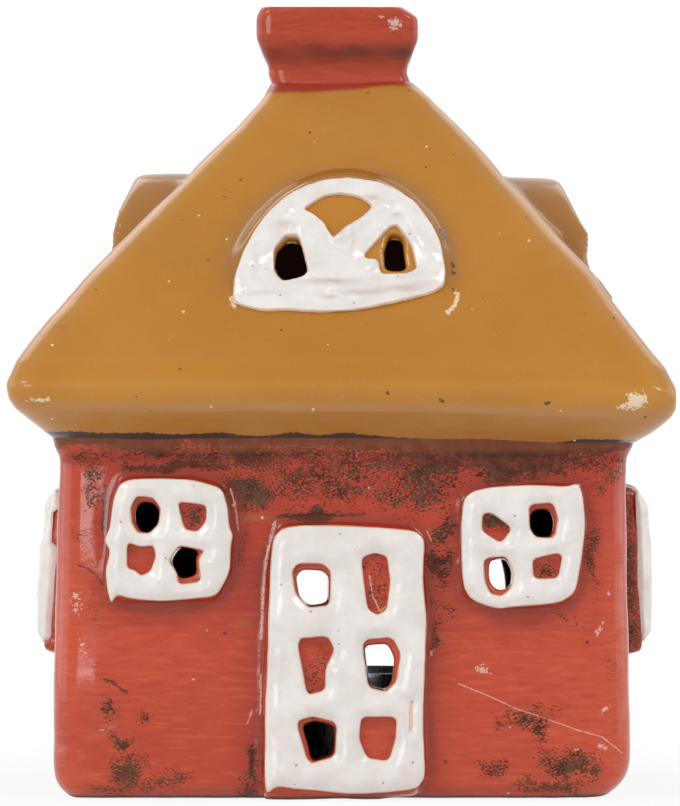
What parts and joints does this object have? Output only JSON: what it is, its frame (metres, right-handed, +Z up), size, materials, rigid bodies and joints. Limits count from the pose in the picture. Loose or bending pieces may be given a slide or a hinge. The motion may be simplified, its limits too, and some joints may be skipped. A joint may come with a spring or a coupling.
{
  "type": "tealight house",
  "caption": "Glazed pottery house with a hip roof, dormers, pierced windows and an open chimney, that holds a tealight put in at the back.",
  "frame": {"origin": "middle of the underside of the whole object, eaves and chimney included, on the surface it stands on", "axes": "+Z up, -Y the front with the door, +X to the right as one faces the front"},
  "size_m": [0.11, 0.104, 0.1324],
  "materials": {
    "red_glaze": "gloss",
    "ochre_glaze": "gloss",
    "white_glaze": "gloss",
    "cup_foil": "satin",
    "candle_wax": "satin",
    "cotton_wick": "matte",
    "tinplate": "satin"
  },
  "bodies": {
    "house": {"floor_slab": "red_glaze", "front_wall": "red_glaze", "rear_wall": "red_glaze", "left_wall": "red_glaze", "right_wall": "red_glaze", "chimney_stack": "red_glaze", "chimney_cap": "red_glaze", "front_door_pad": "red_glaze", "front_left_window_pad": "red_glaze", "front_right_window_pad": "red_glaze", "left_side_window_pad": "red_glaze", "right_side_window_pad": "red_glaze", "front_roof": "ochre_glaze", "rear_roof": "ochre_glaze", "left_roof": "ochre_glaze", "right_roof": "ochre_glaze", "front_dormer_hood": "ochre_glaze", "left_dormer_hood": "ochre_glaze", "right_dormer_hood": "ochre_glaze", "front_door": "white_glaze", "front_left_window": "white_glaze", "front_right_window": "white_glaze", "left_side_window": "white_glaze", "right_side_window": "white_glaze", "front_dormer_window": "white_glaze", "left_dormer_window": "white_glaze", "right_dormer_window": "white_glaze"},
    "tealight": {"tealight_cup": "cup_foil", "tealight_wax": "candle_wax", "tealight_wick": "cotton_wick", "wick_sustainer": "tinplate"}
  },
  "joints": [
    {"name": "tealight_out", "type": "slide", "parent": "house", "child": "tealight", "axis": [0, 0.922, 0.3872], "range_m": [0, 0.087]}
  ]
}
